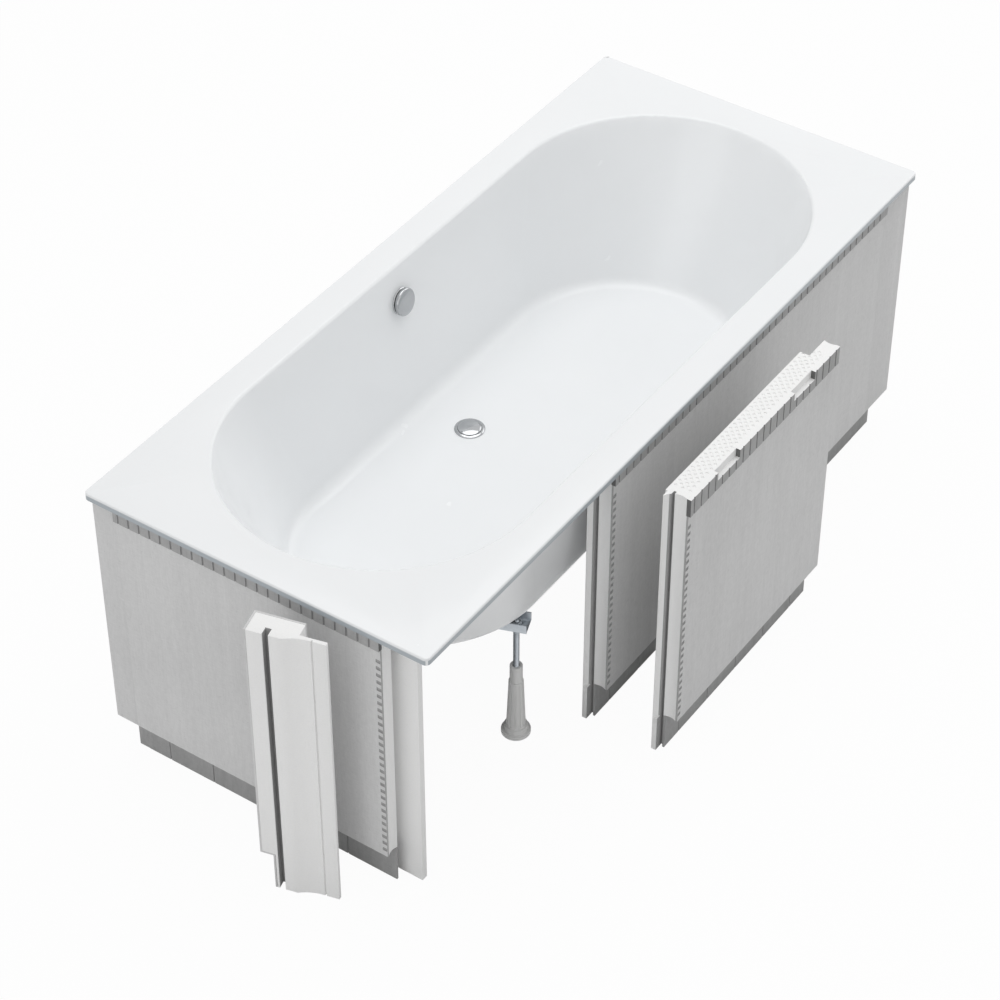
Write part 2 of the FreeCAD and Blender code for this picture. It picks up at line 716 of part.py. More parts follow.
def overflow_route(start_reach, end_reach):
    """Height and depth points from the overflow cup, down behind the wall, to the waste cup."""
    axis = -size.tub_wall - size.overflow_cup_depth + size.cup_wall + size.pipe_radius
    start = overflow_placement().multVec(FreeCAD.Vector(0, -start_reach, axis))
    lean = math.radians(lean_angle())
    low = size.rim_height - size.bowl_depth - size.pipe_drop
    corner = start.y - (start.z - low) * math.tan(lean)
    return [(start.y, start.z), (corner, low), (size.drain_back + end_reach, low)]


def make_overflow_tube(name, radius, wall, bend, side, start_reach, end_reach):
    """A tube or cable from the overflow cup to the waste cup."""
    body = new_body(name)
    route = overflow_route(start_reach, end_reach)
    spine = path(new_sketch(body, "YZ_Plane"), route, bend)
    section = new_sketch(body, "XZ_Plane", f"{-route[-1][0]}")
    circle(section, "0", f"{FLOOR} - pipe_drop", radius)
    if wall:
        circle(section, "0", f"{FLOOR} - pipe_drop", f"{radius} - {wall}")
    sweep(body, spine, section)
    place(body, side)
    keep(name, body)


def make_feet():
    """Four screw feet: bracket with rubber pads under the floor, nut, threaded rod and plastic cone."""
    x = size.tub_length / 2 - size.end_border - size.end_lean - size.foot_from_end
    y = size.tub_width / 2 - size.side_border - size.side_lean - size.foot_from_side
    brackets, pads, nuts = [], [], []
    lean = size.bracket_angle
    places = (("front_left", -x, -y, lean - 90), ("front_right", x, -y, -lean - 90),
              ("back_left", -x, y, 90 - lean), ("back_right", x, y, 90 + lean))
    inner_end = "bracket_overhang - bracket_length"
    pad_ends = (("-pad_from_rod - pad_length", "-pad_from_rod"), (inner_end, f"{inner_end} + pad_length"))
    for name, foot_x, foot_y, turn in places:
        bracket = new_body("Bracket_" + name)
        half, metal = "bracket_width / 2", "bracket_metal"
        low = f"({UNDER} - bracket_height)"
        web_top = f"{low} + {metal}"
        edge = f"{low} + bracket_flange"
        channel = [(f"-{half}", low), (half, low), (half, edge), (f"{half} - {metal}", edge),
                   (f"{half} - {metal}", web_top), (f"{metal} - {half}", web_top),
                   (f"{metal} - {half}", edge), (f"-{half}", edge)]
        section = outline(new_sketch(bracket, "YZ_Plane", inner_end), channel)
        pad(bracket, section, "bracket_length")
        hole = circle(new_sketch(bracket, lift=f"{low} - overrun"), "0", "0", "rod_radius + rod_gap")
        pocket(bracket, hole, "bracket_metal + 2 * overrun", away=True)
        place(bracket, foot_x, foot_y, turn=turn)
        brackets.append(bracket)

        for start, end in pad_ends:
            rubber = new_body("Pad_" + name)
            across = "(bracket_width / 2 - bracket_metal - pad_gap)"
            foot = rectangle(new_sketch(rubber, lift=web_top), start, end, f"-{across}", across)
            pad(rubber, foot, "bracket_height - bracket_metal")
            place(rubber, foot_x, foot_y, turn=turn)
            pads.append(rubber)

        nut = new_body("Nut_" + name)
        corner_radius = "nut_width / sqrt(3)"
        turns = [360 / NUT_SIDES * corner for corner in range(NUT_SIDES)]
        hexagon = [(f"{corner_radius} * cos({angle})", f"{corner_radius} * sin({angle})") for angle in turns]
        blank = outline(new_sketch(nut, lift=web_top), hexagon)
        circle(blank, "0", "0", "rod_radius + rod_gap")
        pad(nut, blank, "nut_height")
        place(nut, foot_x, foot_y, turn=turn)
        nuts.append(nut)

        rod = new_body("Rod_" + name)
        bottom = f"({CONE_BLIND} + rod_gap)"
        end = circle(new_sketch(rod, lift=bottom), "0", "0", "rod_radius")
        pad(rod, end, f"{UNDER} - rod_headroom - {bottom}")
        place(rod, foot_x, foot_y)
        keep("foot_rod_" + name, rod)

        cone = new_body("Cone_" + name)
        bore = "(rod_radius + rod_gap)"
        step_top = "cone_base + cone_step"
        turned(cone, [("0", "0"), ("cone_base_radius", "0"), ("cone_base_radius", "cone_base"),
                      ("cone_step_radius", "cone_base"), ("cone_step_radius", step_top),
                      ("cone_foot_radius", step_top), ("cone_shoulder_radius", f"{CONE} - cone_sleeve"),
                      ("cone_sleeve_radius", f"{CONE} - cone_sleeve"), ("cone_sleeve_radius", CONE),
                      (bore, CONE), (bore, CONE_BLIND), ("0", CONE_BLIND)])
        place(cone, foot_x, foot_y)
        keep("foot_cone_" + name, cone)
    group("foot_brackets", brackets)
    group("bracket_pads", pads)
    group("lock_nuts", nuts)


def stand_on_origin():
    """Move the whole part so that its origin is the middle of its footprint."""
    doc.recompute()
    box = FreeCAD.BoundBox()
    for piece in nodes.values():
        box.add(piece.Shape.BoundBox)
    shift = FreeCAD.Vector(-box.Center.x, -box.Center.y, -box.ZMin)
    for piece in placed:
        piece.Placement = FreeCAD.Placement(shift, FreeCAD.Rotation()).multiply(piece.Placement)
    doc.recompute()
    print("tub centre moved by", shift)


make_tub()
make_skirt()
make_waste()
make_trap()
make_overflow()
make_overflow_tube("overflow_pipe", "pipe_radius", "pipe_wall", size.pipe_bend, 0,
                   size.overflow_outlet - size.socket_length, size.cup_radius)
make_overflow_tube("control_cable", "cable_radius", "", size.cable_bend, size.cable_side,
                   size.gland_length, size.cup_radius + size.socket_length)
make_feet()
stand_on_origin()

failed = [item.Label for item in doc.Objects if {"Invalid", "Error"} & set(item.State)]
if failed:
    raise RuntimeError("failed features: " + ", ".join(failed))
for name, piece in nodes.items():
    if piece.Shape.isNull() or not piece.Shape.isValid():
        raise RuntimeError("bad shape: " + name)
os.makedirs("parts", exist_ok=True)
for name, piece in nodes.items():
    piece.Shape.exportStep(f"parts/{name}.step")
print(len(nodes), "sub-parts written")
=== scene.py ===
"""The looks of the skirted bathtub, in metres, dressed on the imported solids."""
import json
import math
import bpy
from mathutils import Matrix, Vector


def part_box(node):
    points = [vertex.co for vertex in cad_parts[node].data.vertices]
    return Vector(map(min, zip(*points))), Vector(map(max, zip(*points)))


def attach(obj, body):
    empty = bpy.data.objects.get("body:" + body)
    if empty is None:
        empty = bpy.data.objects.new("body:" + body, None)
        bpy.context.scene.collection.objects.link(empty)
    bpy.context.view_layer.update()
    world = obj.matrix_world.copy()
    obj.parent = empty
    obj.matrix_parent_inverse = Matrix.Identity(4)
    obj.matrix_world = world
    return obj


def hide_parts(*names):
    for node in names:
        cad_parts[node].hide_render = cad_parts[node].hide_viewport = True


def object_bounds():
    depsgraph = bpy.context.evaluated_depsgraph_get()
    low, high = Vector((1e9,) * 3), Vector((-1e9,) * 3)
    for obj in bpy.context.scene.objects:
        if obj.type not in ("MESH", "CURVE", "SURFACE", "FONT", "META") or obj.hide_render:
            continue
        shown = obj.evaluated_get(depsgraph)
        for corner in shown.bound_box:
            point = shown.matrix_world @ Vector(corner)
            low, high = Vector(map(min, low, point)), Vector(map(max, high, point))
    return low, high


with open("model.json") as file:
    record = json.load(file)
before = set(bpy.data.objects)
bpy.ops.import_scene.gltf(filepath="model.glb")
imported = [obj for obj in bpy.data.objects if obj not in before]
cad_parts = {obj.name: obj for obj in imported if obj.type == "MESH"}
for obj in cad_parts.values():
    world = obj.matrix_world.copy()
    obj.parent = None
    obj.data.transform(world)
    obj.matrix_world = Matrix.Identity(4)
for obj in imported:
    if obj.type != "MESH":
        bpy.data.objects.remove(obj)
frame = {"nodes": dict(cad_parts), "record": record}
CAD_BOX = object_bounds()
NODES = frame["nodes"]
BODIES = frame["record"]["behaviour"]["bodies"]
BODY_OF = {node: body for body, members in BODIES.items() for node in members}

# Each panel's turn in degrees; its own X runs from left to right as seen from outside
PANELS = {"loose_panel": 0, "front_panel": 0, "left_panel": -90, "right_panel": 90,
          "back_left_panel": 180, "back_right_panel": 180}
KEYED_AT_RIGHT = ("left_panel",)
# Each corner block's turn; its own X and Y run inwards from its two outer faces
CORNERS = {"loose_corner": 194, "back_left_corner": -90, "back_right_corner": 180,
           "front_right_corner": 90}
FEET = ("front_left", "front_right", "back_left", "back_right")

# Finishing: small gaps, and angles in degrees
HAIR = 0.0002
MERGE_GAP = HAIR / 20
FLAT_ANGLE = 0.2
BOARD_SHADE = 30
TUB_SHADE = 32
ROUND_SHADE = 40

# What a part of a face's normal says of the way it looks
STRAIGHT = 0.9
END_ON = 0.97
SIDEWAYS = 0.5
UPRIGHT = 0.1
SLANTED = 0.3

# Rounded edges
RIM_ROUNDING = 0.003
RIM_STEPS = 4
EDGE_STEPS = 2
EDGE_ANGLE = 40
FOAM_EDGE = 0.0010
COAT_EDGE = 0.0008
CONE_EDGE = 0.0012
SMALL_PIECES = (("foot_brackets", 0.0008, "zinc_steel"), ("lock_nuts", 0.0010, "zinc_steel"),
                ("bracket_pads", 0.0012, "rubber"), ("overflow_knob", 0.0008, "chrome"),
                ("waste_flange", 0.0005, "chrome"), ("drain_plug", 0.0006, "chrome"))

# Skirt sizes that the frame's boxes don't give, each in its piece's own frame
PLINTH_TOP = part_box("front_panel_facing")[0].z
STRIP_PROUD = 0.004
SLOT_LOW = Vector((0.0292, 0.0305))
SLOT_HIGH = Vector((0.0452, 0.0425))
COVE_DEPTH = 0.012
TONGUE_SHOWN = 0.032
LIP_ROOT = -0.0060
LIP_CHANNEL = 0.0062
LIP_NEAR = 0.0302
LIP_FAR = 0.0455

# Ribs, ticks, keying cuts, pits, joints and grooves
RIB_PITCH = 0.024
RIB_DEPTH = 0.0003
COLUMNS_PER_RIB = 4
TICK_WIDTH = 0.0050
TICK_DEPTH = 0.0012
KEY_PITCH = 0.017
KEY_SIZE = Vector((0.013, 0.0044, 0.0105))
KEY_EDGE = -0.0010
PIT_PITCH = 0.0145
PIT_SIDE = 0.0076
PIT_DEPTH = 0.0020
PIT_FLOOR_SHARE = 0.55
PIT_TURN = 45
PITS_FROM_END = 1.5
PIT_FREE_LENGTH = 0.05
JOINT_WIDTH = 0.003
JOINT_DEPTH = 0.0015
JOINT_PITCH = 0.105
GROOVE_WIDTH = 0.005
GROOVE_DEPTH = 0.0035
GROOVE_OVERRUN = 1.1
TIP_SHARE = 0.6

# Screw feet
THREAD_PITCH = 0.00175
THREAD_DEPTH = 0.0009
THREAD_STEPS = 14
SPARE_TURNS = 3
FLUTES = 12
FLUTE_WIDTH = 0.0040
FLUTE_DEPTH = 0.0013
FLUTE_LOW = 0.024
FLUTE_HIGH = 0.134
FLUTE_LOW_RADIUS = 0.0188
FLUTE_HIGH_RADIUS = 0.0147
FLUTE_TOP_SHARE = 0.7
FLUTE_FLOOR_SHARE = 0.6

# Studio: name, place, width and watts of each lamp, and how bright the rest is
LAMPS = (("overhead_softbox", (0.8, 0.3, 4.4), 4.0, 62.0),
         ("left_softbox", (-5.2, 0.6, 2.2), 3.6, 31.0),
         ("right_softbox", (5.0, -1.0, 3.2), 3.6, 32.0),
         ("front_softbox", (0.8, -5.0, 3.2), 3.6, 5.0))
LAMPS_AIM = Vector((0, 0, 0.4))
SKY_LEVEL = 0.56
FLOOR_WIDTH = 60
FLOOR_GREY = 0.80
FLOOR_ROUGHNESS = 0.9
FLOOR_GLOW = 0.96

# Camera, worked out from the rim's corners in the photo; its stand is from the rim's middle
PHOTO_LENS = 108.0
PHOTO_STAND = Vector((-3.716, -2.492, 3.518))
PHOTO_AZIMUTH = -55.5
PHOTO_ELEVATION = 41.58


def clear_selection():
    """Leave edit mode with nothing selected."""
    if bpy.context.mode != "OBJECT":
        bpy.ops.object.mode_set(mode="OBJECT")
    bpy.ops.object.select_all(action="DESELECT")


def hold(piece):
    """Make one piece the only one selected, and active."""
    clear_selection()
    piece.select_set(True)
    bpy.context.view_layer.objects.active = piece


def edit_all(piece):
    """Take a piece into edit mode with all of it selected."""
    hold(piece)
    bpy.ops.object.mode_set(mode="EDIT")
    bpy.ops.mesh.select_all(action="SELECT")


def pick(piece, kind, wanted):
    """In edit mode, select only the points, edges or faces that a test picks out."""
    bpy.ops.object.mode_set(mode="EDIT")
    bpy.ops.mesh.select_mode(type=kind)
    bpy.ops.mesh.select_all(action="DESELECT")
    bpy.ops.object.mode_set(mode="OBJECT")
    mesh = piece.data
    parts = {"VERT": mesh.vertices, "EDGE": mesh.edges, "FACE": mesh.polygons}[kind]
    for part in parts:
        part.select = wanted(part)
    bpy.ops.object.mode_set(mode="EDIT")


def apply_modifier(piece, kind, settings):
    """Add a modifier to a piece and finish it."""
    modifier = piece.modifiers.new(kind.lower(), kind)
    for name, value in settings.items():
        setattr(modifier, name, value)
    hold(piece)
    bpy.ops.object.modifier_apply(modifier=modifier.name)


def round_edges(piece, width):
    """Round a piece's hard edges slightly."""
    apply_modifier(piece, "BEVEL", {"width": width, "segments": EDGE_STEPS, "limit_method": "ANGLE",
                                    "angle_limit": math.radians(EDGE_ANGLE), "use_clamp_overlap": True})


def repeat(piece, step, count):
    """Make a row of a piece, one step apart."""
    apply_modifier(piece, "ARRAY", {"count": count, "use_relative_offset": False,
                                    "use_constant_offset": True, "constant_offset_displace": step})


def cut(piece, cutter):
    """Take a cutter's shape out of a piece and put the cutter away."""
    apply_modifier(piece, "BOOLEAN", {"object": cutter, "operation": "DIFFERENCE", "solver": "EXACT"})
    bpy.data.objects.remove(cutter)


def settle(piece, place):
    """Carry a piece to its place and leave that place in its mesh."""
    piece.matrix_world = place
    hold(piece)
    bpy.ops.object.transform_apply(location=True, rotation=True, scale=True)


def outward(piece):
    """Close up doubles and point all faces outwards."""
    edit_all(piece)
    bpy.ops.mesh.remove_doubles(threshold=MERGE_GAP)
    bpy.ops.mesh.normals_make_consistent(inside=False)
    bpy.ops.object.mode_set(mode="OBJECT")


def smooth(piece, degrees):
    """Shade a piece smooth across all but its sharp edges."""
    hold(piece)
    bpy.ops.object.shade_smooth_by_angle(angle=math.radians(degrees))


def copy_of(node, name, whole_faces=True):
    """A merged copy of a solid's mesh, with its flat faces whole again unless one is a ring."""
    piece = bpy.data.objects.new(name, NODES[node].data.copy())
    bpy.context.scene.collection.objects.link(piece)
    edit_all(piece)
    bpy.ops.mesh.customdata_custom_splitnormals_clear()
    bpy.ops.mesh.remove_doubles(threshold=MERGE_GAP)
    if whole_faces:
        bpy.ops.mesh.dissolve_limited(angle_limit=math.radians(FLAT_ANGLE))
    bpy.ops.object.mode_set(mode="OBJECT")
    return piece


def dress(piece, material, node):
    """Give a finished piece its coat and its body, in place of the solid that it stands for."""
    piece.data.materials.clear()
    piece.data.materials.append(material)
    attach(piece, BODY_OF[node])
    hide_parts(node)


def paint(piece, material, wanted):
    """Give another finish to the faces that a test picks out."""
    piece.data.materials.append(material)
    for face in piece.data.polygons:
        if wanted(face):
            face.material_index = len(piece.data.materials) - 1


def new_block(size):
    """A block about the origin, in edit mode with all of it selected."""
    clear_selection()
    bpy.ops.mesh.primitive_cube_add(size=1)
    block = bpy.context.object
    bpy.ops.object.mode_set(mode="EDIT")
    bpy.ops.mesh.select_all(action="SELECT")
    bpy.ops.transform.resize(value=size)
    return block


def new_tooth(size):
    """A cutter about the origin, narrowed to its tip along +Y; a low one is narrowed in height too."""
    tooth = new_block(size)
    pick(tooth, "FACE", lambda face: face.normal.y > STRAIGHT)
    tip = (TIP_SHARE, 1, TIP_SHARE if size.z < RIB_PITCH else 1)
    bpy.ops.transform.resize(value=tip, center_override=(0, size.y / 2, 0))
    bpy.ops.object.mode_set(mode="OBJECT")
    return tooth


def cutter_row(size, start, step, count):
    """A row of like teeth, the first one's middle at start."""
    row = new_tooth(size)
    settle(row, Matrix.Translation(start))
    repeat(row, step, count)
    return row


def panel_place(panel):
    """Where a panel's own frame lies: the foot of its face at its left end, with its Y inwards."""
    low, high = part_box(panel + "_facing")
    turn = PANELS[panel]
    corner = {0: (low.x, low.y), -90: (low.x, high.y),
              90: (high.x, low.y), 180: (high.x, high.y)}[turn]
    return Matrix.Translation((*corner, 0)) @ Matrix.Rotation(math.radians(turn), 4, "Z")


def panel_length(panel):
    """How long a panel's face is."""
    low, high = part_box(panel + "_facing")
    return max(high.x - low.x, high.y - low.y)


def middle_of_foot(node):
    """The middle of the underside of a solid's box."""
    low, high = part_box(node)
    return Vector(((low.x + high.x) / 2, (low.y + high.y) / 2, low.z))


class Signal:
    """A shader socket that can be added, multiplied and compared in a plain expression."""

    def __init__(self, tree, socket=None):
        self.tree = tree
        self.socket = socket

    def node(self, kind, settings, sockets, output=0):
        """Add any node: its settings first, then the values or links of its sockets."""
        made = self.tree.nodes.new(kind)
        for name, value in settings.items():
            setattr(made, name, value)
        for name, value in sockets.items():
            if isinstance(value, Signal):
                self.tree.links.new(value.socket, made.inputs[name])
            else:
                made.inputs[name].default_value = value
        return Signal(self.tree, made.outputs[output])

    def math(self, operation, first, second):
        return self.node("ShaderNodeMath", {"operation": operation}, {0: first, 1: second})

    def __add__(self, other):
        return self.math("ADD", self, other)

    def __radd__(self, other):
        return self.math("ADD", other, self)

    def __sub__(self, other):
        return self.math("SUBTRACT", self, other)

    def __rsub__(self, other):
        return self.math("SUBTRACT", other, self)

    def __mul__(self, other):
        return self.math("MULTIPLY", self, other)

    def __rmul__(self, other):
        return self.math("MULTIPLY", other, self)

    def __gt__(self, other):
        return self.math("GREATER_THAN", self, other)

    def __abs__(self):
        return self.math("ABSOLUTE", self, 0.0)

    def larger(self, other):
        """The larger of two values."""
        return self.math("MAXIMUM", self, other)

    def along(self, axis):
        """A place's own X, Y or Z."""
        return self.node("ShaderNodeSeparateXYZ", {}, {"Vector": self}, axis)

    def blend(self, first, second):
        """Mix two colours by this value."""
        return self.node("ShaderNodeMix", {"data_type": "RGBA"}, {0: self, 6: first, 7: second}, 2)

    def stretched(self, scale):
        """The same place, drawn out or squeezed along each axis."""
        return self.node("ShaderNodeMapping", {}, {"Vector": self, "Scale": scale})

    def noise(self, scale, detail=3.0):
        """Soft patches over this place, from 0 to 1."""
        return self.node("ShaderNodeTexNoise", {}, {"Vector": self, "Scale": scale, "Detail": detail})

    def beads(self, scale):
        """Rounded cells over this place: 0 at their seams."""
        return self.node("ShaderNodeTexVoronoi", {"feature": "DISTANCE_TO_EDGE"},
                         {"Vector": self, "Scale": scale})

    def ramp(self, low, high):
        """Spread the span from low to high over 0 to 1, and stop there."""
        return self.node("ShaderNodeMapRange", {}, {"Value": self, "From Min": low, "From Max": high})

    def bump(self, distance, strength):
        """A normal that rises and falls with this value."""
        return self.node("ShaderNodeBump", {},
                         {"Height": self, "Distance": distance, "Strength": strength})


def grey(level):
    """A neutral colour."""
    return (level, level, level, 1.0)


def start_finish(name):
    """A new material, and the place of each point on the piece that wears it."""
    material = bpy.data.materials.new(name)
    material.use_nodes = True
    return material, Signal(material.node_tree).node("ShaderNodeTexCoord", {}, {}, "Object")


def end_finish(material, sockets):
    """Set the values and links of a material's own shader."""
    shader = material.node_tree.nodes["Principled BSDF"]
    for name, value in sockets.items():
        if isinstance(value, Signal):
            material.node_tree.links.new(value.socket, shader.inputs[name])
        else:
            shader.inputs[name].default_value = value
    return material


def glaze():
    """White vitreous enamel, with a blue-grey band of painted shade on the rim's turned-down edge."""
    dull_white, bright_white = (0.880, 0.895, 0.905, 1.0), (0.905, 0.917, 0.927, 1.0)
    rim_edge_shade, rim_edge_shade_share = (0.30, 0.35, 0.39, 1.0), 0.8
    material, place = start_finish("vitreous_glaze")
    low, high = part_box("tub_shell")
    middle, reach = (low + high) / 2, (high - low) / 2
    past_end = abs(place.along("X") - middle.x) > reach.x - RIM_ROUNDING / 2
    past_side = abs(place.along("Y") - middle.y) > reach.y - RIM_ROUNDING / 2
    top = place.along("Z").ramp(high.z - 2 * RIM_ROUNDING, high.z - RIM_ROUNDING)
    # Painted shade: the rim's upright edge below its rounded top turns blue-grey
    edge = past_end.larger(past_side) * (1 - top)
    white = place.noise(6.0).blend(dull_white, bright_white)
    skin = place.noise(90.0, 2.0)
    smear = place.noise(14.0)
    return end_finish(material, {"Base Color": (edge * rim_edge_shade_share).blend(white, rim_edge_shade),
                                 "Roughness": 0.20 + 0.10 * smear, "IOR": 1.5,
                                 "Normal": skin.bump(0.0003, 0.10),
                                 "Coat Weight": 0.10, "Coat Roughness": 0.10})


def foam():
    """White bead foam: rounded cells with thin seams."""
    dull_white, bright_white = (0.92, 0.92, 0.915, 1.0), (0.95, 0.95, 0.945, 1.0)
    seam_grey, seam_share = (0.72, 0.72, 0.71, 1.0), 0.10
    material, place = start_finish("bead_foam")
    cells = place.beads(210.0)
    seam = 1 - cells.ramp(0.0, 0.10)
    patch = place.noise(7.0)
    white = patch.blend(dull_white, bright_white)
    rise = cells.ramp(0.0, 0.30) + 0.35 * place.noise(60.0)
    return end_finish(material, {"Base Color": (seam * seam_share).blend(white, seam_grey),
                                 "Roughness": 0.72 + 0.16 * patch,
                                 "Normal": rise.bump(0.0005, 0.25), "Specular IOR Level": 0.25})


def mineral_coat(name, dark, light, streak_share):
    """Matt mineral coating over woven fleece: upright streaks, crossed threads, grit and specks."""
    patch_share = 0.45 - streak_share
    speck_size, speck_above, speck_share, speck_shade = 160.0, 0.74, 0.30, 0.85
    material, place = start_finish(name)
    streak = place.stretched((1.0, 1.0, 0.03)).noise(64.0, 4.0)
    upright = place.stretched((1.0, 1.0, 0.2)).noise(300.0, 2.0)
    level = place.stretched((0.25, 0.25, 1.0)).noise(300.0, 2.0)
    grit = place.noise(900.0, 2.0)
    patch = place.noise(2.4)
    tone = streak_share * streak + 0.22 * upright + 0.18 * level + 0.15 * grit + patch_share * patch
    plain = tone.ramp(0.34, 0.66).blend(grey(dark), grey(light))
    speck = (place.noise(speck_size, 1.0) > speck_above) * speck_share
    rise = streak_share * streak + 0.35 * upright + 0.25 * level + 0.25 * grit
    return end_finish(material, {"Base Color": speck.blend(plain, grey(dark * speck_shade)),
                                 "Roughness": 0.80 + 0.14 * grit,
                                 "Normal": rise.bump(0.0010, 0.22), "Specular IOR Level": 0.2})


def chrome():
    """Bright chrome plate with faint wiping marks."""
    material, place = start_finish("bright_chrome")
    haze = place.noise(35.0)
    plate = haze.blend((0.42, 0.43, 0.44, 1.0), (0.50, 0.51, 0.52, 1.0))
    return end_finish(material, {"Base Color": plate, "Metallic": 1.0,
                                 "Roughness": 0.06 + 0.08 * haze})


def zinc():
    """Bluish zinc plate with its crystal patches."""
    material, place = start_finish("zinc_plate")
    patch = place.noise(70.0)
    fine = place.noise(400.0, 2.0)
    plate = patch.blend((0.42, 0.46, 0.50, 1.0), (0.60, 0.63, 0.66, 1.0))
    return end_finish(material, {"Base Color": plate, "Metallic": 0.9,
                                 "Roughness": 0.28 + 0.22 * patch,
                                 "Normal": fine.bump(0.0002, 0.15)})


def moulded(name, dark, light, roughness, grain):
    """Moulded plastic or rubber with its fine grain."""
    material, place = start_finish(name)
    fine = place.noise(grain, 2.0)
    return end_finish(material, {"Base Color": place.noise(11.0).blend(dark, light),
                                 "Roughness": roughness + 0.12 * fine,
                                 "Normal": fine.bump(0.0003, 0.15)})


GLAZE = glaze()
FOAM = foam()
RIBBED_COAT = mineral_coat("ribbed_mineral_coat", 0.62, 0.77, 0.16)
# Strip coat: the strips' own grey, also laid in the facings' keying cuts as painted shade
STRIP_COAT_AND_KEY_SHADE = mineral_coat("strip_coat_and_key_shade", 0.37, 0.50, 0.24)
# Painted shade: darker grey in the strips' ticks, and near-black on their ends and notch sides
PAINTED_TICK_SHADE = mineral_coat("painted_tick_shade", 0.25, 0.34, 0.20)
PAINTED_STRIP_END_SHADE = mineral_coat("painted_strip_end_shade", 0.13, 0.19, 0.16)
# Painted shade: dark grey in the blocks' slots and in the channels beside the panels' lips
PAINTED_GROOVE_SHADE = mineral_coat("painted_groove_shade", 0.34, 0.42, 0.16)
# Plinth grey: partly the boards' own colour, partly painted shade under the facings' overhang
PLINTH_COAT_AND_SHADE = mineral_coat("plinth_coat_and_painted_shade", 0.33, 0.46, 0.30)
CHROME = chrome()
ZINC = zinc()
RUBBER = moulded("black_rubber", grey(0.022), grey(0.040), 0.55, 500.0)
PIPE_PLASTIC = moulded("white_pipe_plastic", (0.70, 0.70, 0.69, 1.0), (0.78, 0.78, 0.77, 1.0), 0.40, 300.0)
CABLE_SHEATH = moulded("black_cable_sheath", grey(0.035), grey(0.055), 0.45, 600.0)
FOOT_PLASTIC = moulded("grey_foot_plastic", (0.78, 0.78, 0.77, 1.0), (0.86, 0.86, 0.85, 1.0), 0.42, 350.0)

# Which finish a solid wears, by the end of its name; a cone or rod of a foot has its foot's name there
COAT_BY_ENDING = {"_core": FOAM, "_block": FOAM, "_facing": RIBBED_COAT, "_coat": RIBBED_COAT,
                  "_plinth": PLINTH_COAT_AND_SHADE, "_top_strip": STRIP_COAT_AND_KEY_SHADE, "_gasket": RUBBER, "_pads": RUBBER,
                  "_cup": PIPE_PLASTIC, "trap": PIPE_PLASTIC, "_pipe": PIPE_PLASTIC,
                  "_cable": CABLE_SHEATH, "_shell": GLAZE, "_flange": CHROME, "_plug": CHROME,
                  "_ring": CHROME, "_knob": CHROME, "_brackets": ZINC, "_nuts": ZINC}


def coat_of(node):
    """The finish of a solid."""
    for ending, material in COAT_BY_ENDING.items():
        if node.endswith(ending):
            return material
    return FOOT_PLASTIC if node.startswith("foot_cone") else ZINC


def coat_solids():
    """Give every solid its finish."""
    for node, solid in NODES.items():
        solid.data.materials.clear()
        solid.data.materials.append(coat_of(node))


def glazed_tub():
    """The tub with the outer edge of its rim rounded over."""
    tub = copy_of("tub_shell", "glazed_tub", whole_faces=False)
    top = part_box("tub_shell")[1].z
    points = tub.data.vertices
    walls = {key for face in tub.data.polygons if abs(face.normal.z) < UPRIGHT for key in face.edge_keys}
    pick(tub, "EDGE", lambda edge: edge.key in walls
         and all(abs(points[index].co.z - top) < HAIR for index in edge.vertices))
    bpy.ops.mesh.bevel(offset=RIM_ROUNDING, segments=RIM_STEPS, profile=0.5)
    bpy.ops.object.mode_set(mode="OBJECT")
    smooth(tub, TUB_SHADE)
    dress(tub, GLAZE, "tub_shell")


def ribbed_board(panel):
    """A panel's facing with shallow upright ribs, and keying cuts down one edge, darker inside as painted
    shade.
    """
    node = panel + "_facing"
    low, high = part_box(node)
    length, height = panel_length(panel), high.z - low.z
    thickness = min(high.x - low.x, high.y - low.y)
    columns = round(length / RIB_PITCH) * COLUMNS_PER_RIB
    column = length / columns
    clear_selection()
    bpy.ops.mesh.primitive_grid_add(x_subdivisions=columns, y_subdivisions=1, size=1)
    board = bpy.context.object
    board.name = panel + "_ribbed_board"
    bpy.ops.object.mode_set(mode="EDIT")
    bpy.ops.mesh.select_all(action="SELECT")
    bpy.ops.transform.resize(value=(length, height, 1))
    bpy.ops.transform.translate(value=(length / 2, height / 2, 0))
    pick(board, "VERT", lambda point:
         round(point.co.x / column) % COLUMNS_PER_RIB == COLUMNS_PER_RIB // 2)
    bpy.ops.transform.translate(value=(0, 0, -RIB_DEPTH))
    bpy.ops.mesh.select_all(action="SELECT")
    bpy.ops.mesh.extrude_region_move(TRANSFORM_OT_translate={"value": (0, 0, -thickness)})
    bpy.ops.transform.resize(value=(1, 1, 0), center_override=(0, 0, -thickness))
    bpy.ops.object.mode_set(mode="OBJECT")
    outward(board)
    settle(board, Matrix.Translation((0, 0, low.z)) @ Matrix.Rotation(math.radians(90), 4, "X"))
    keys = int(height / KEY_PITCH) - 1
    from_edge = KEY_EDGE + KEY_SIZE.x / 2
    key_x = length - from_edge if panel in KEYED_AT_RIGHT else from_edge
    start = Vector((key_x, 0, low.z + KEY_PITCH))
    cut(board, cutter_row(KEY_SIZE, start, Vector((0, 0, KEY_PITCH)), keys))
    settle(board, panel_place(panel))
    smooth(board, BOARD_SHADE)
    dress(board, RIBBED_COAT, node)
    to_panel = panel_place(panel).inverted()

    def in_key(face):
        spot = to_panel @ face.center
        return 2 * RIB_DEPTH < spot.y < KEY_SIZE.y and abs(spot.x - key_x) < KEY_SIZE.x / 2 + HAIR

    # Painted shade: the darker strip coat on the keying cuts' inner faces
    paint(board, STRIP_COAT_AND_KEY_SHADE, in_key)


